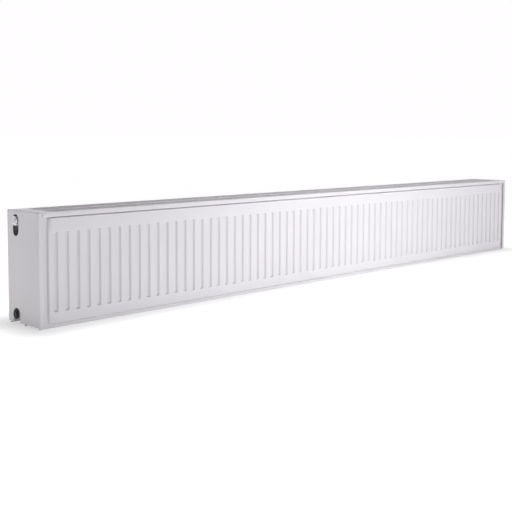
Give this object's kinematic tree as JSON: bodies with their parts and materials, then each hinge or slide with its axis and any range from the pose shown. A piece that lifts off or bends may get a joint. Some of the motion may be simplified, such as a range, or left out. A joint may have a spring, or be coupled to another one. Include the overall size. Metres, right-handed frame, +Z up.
{
  "type": "panel radiator",
  "caption": "Long low steel panel radiator with three water panels, convectors, side covers, top grille, bleed valve and capped side tappings.",
  "frame": {"origin": "bottom centre of the whole box, at the level of the panels' lower seams", "axes": "+X along the length with the bleed valve at the -X end, front face towards -Y, +Z up"},
  "size_m": [2.312, 0.167, 0.3],
  "materials": {
    "enamel": "white powder coat, satin, with a fine orange peel",
    "spring_steel": "zinc-plated spring steel",
    "chrome": "bright nickel-chrome plating",
    "vent_plastic": "moulded white plastic",
    "cap_plastic": "glossy black moulded plastic",
    "seal_rubber": "black rubber"
  },
  "bodies": {
    "radiator": {"front_panel_front_sheet": "enamel", "front_panel_back_sheet": "enamel", "middle_panel_front_sheet": "enamel", "middle_panel_back_sheet": "enamel", "rear_panel_front_sheet": "enamel", "rear_panel_back_sheet": "enamel", "front_convector": "enamel", "middle_convector": "enamel", "rear_convector": "enamel", "tee_bottom_left": "enamel", "tee_bottom_right": "enamel", "tee_top_left": "enamel", "tee_top_right": "enamel", "spacer_tube_bottom_left": "enamel", "spacer_tube_bottom_right": "enamel", "spacer_tube_top_left": "enamel", "spacer_tube_top_right": "enamel", "hanging_lug_lower_left": "enamel", "hanging_lug_lower_middle": "enamel", "hanging_lug_lower_right": "enamel", "hanging_lug_upper_left": "enamel", "hanging_lug_upper_middle": "enamel", "hanging_lug_upper_right": "enamel", "grille_clip_1": "spring_steel", "grille_clip_2": "spring_steel", "grille_clip_3": "spring_steel", "grille_clip_4": "spring_steel", "cover_clip_left_front": "spring_steel", "cover_clip_left_rear": "spring_steel", "cover_clip_right_front": "spring_steel", "cover_clip_right_rear": "spring_steel", "vent_plug": "chrome", "vent_plug_seal": "seal_rubber", "blank_plug": "chrome", "blank_plug_seal": "seal_rubber"},
    "grille": {"top_grille": "enamel"},
    "left_cover": {"side_cover_left": "enamel"},
    "right_cover": {"side_cover_right": "enamel"},
    "left_cap": {"tapping_cap_left": "cap_plastic"},
    "right_cap": {"tapping_cap_right": "cap_plastic"},
    "nozzle": {"vent_nozzle": "vent_plastic"},
    "bleed_ring": {"bleed_screw_ring": "seal_rubber"},
    "bleed_screw": {"bleed_screw": "chrome"}
  },
  "joints": [
    {"name": "grille_lift", "type": "slide", "parent": "radiator", "child": "grille", "axis": [0, 0, 1], "range_m": [0, 0.06]},
    {"name": "left_cover_pull", "type": "slide", "parent": "radiator", "child": "left_cover", "axis": [-1, 0, 0], "range_m": [0, 0.05]},
    {"name": "right_cover_pull", "type": "slide", "parent": "radiator", "child": "right_cover", "axis": [1, 0, 0], "range_m": [0, 0.05]},
    {"name": "left_cap_pull", "type": "slide", "parent": "radiator", "child": "left_cap", "axis": [-1, 0, 0], "range_m": [0, 0.02]},
    {"name": "right_cap_pull", "type": "slide", "parent": "radiator", "child": "right_cap", "axis": [1, 0, 0], "range_m": [0, 0.02]},
    {"name": "nozzle_swivel", "type": "hinge", "parent": "radiator", "child": "nozzle", "pos_m": [-1.15, 0.0286, 0.273], "axis": [-1, 0, 0], "continuous": true},
    {"name": "bleed_screw_advance", "type": "slide", "parent": "radiator", "child": "bleed_ring", "axis": [-1, 0, 0], "range_m": [0, 0.0015]},
    {"name": "bleed_screw_turn", "type": "hinge", "parent": "bleed_ring", "child": "bleed_screw", "pos_m": [-1.15, 0.0286, 0.273], "axis": [-1, 0, 0], "range_deg": [0, 540]}
  ],
  "couplings": [
    {"joint": "bleed_screw_turn", "follows": "bleed_screw_advance", "rad_per_m": 6283.2}
  ]
}
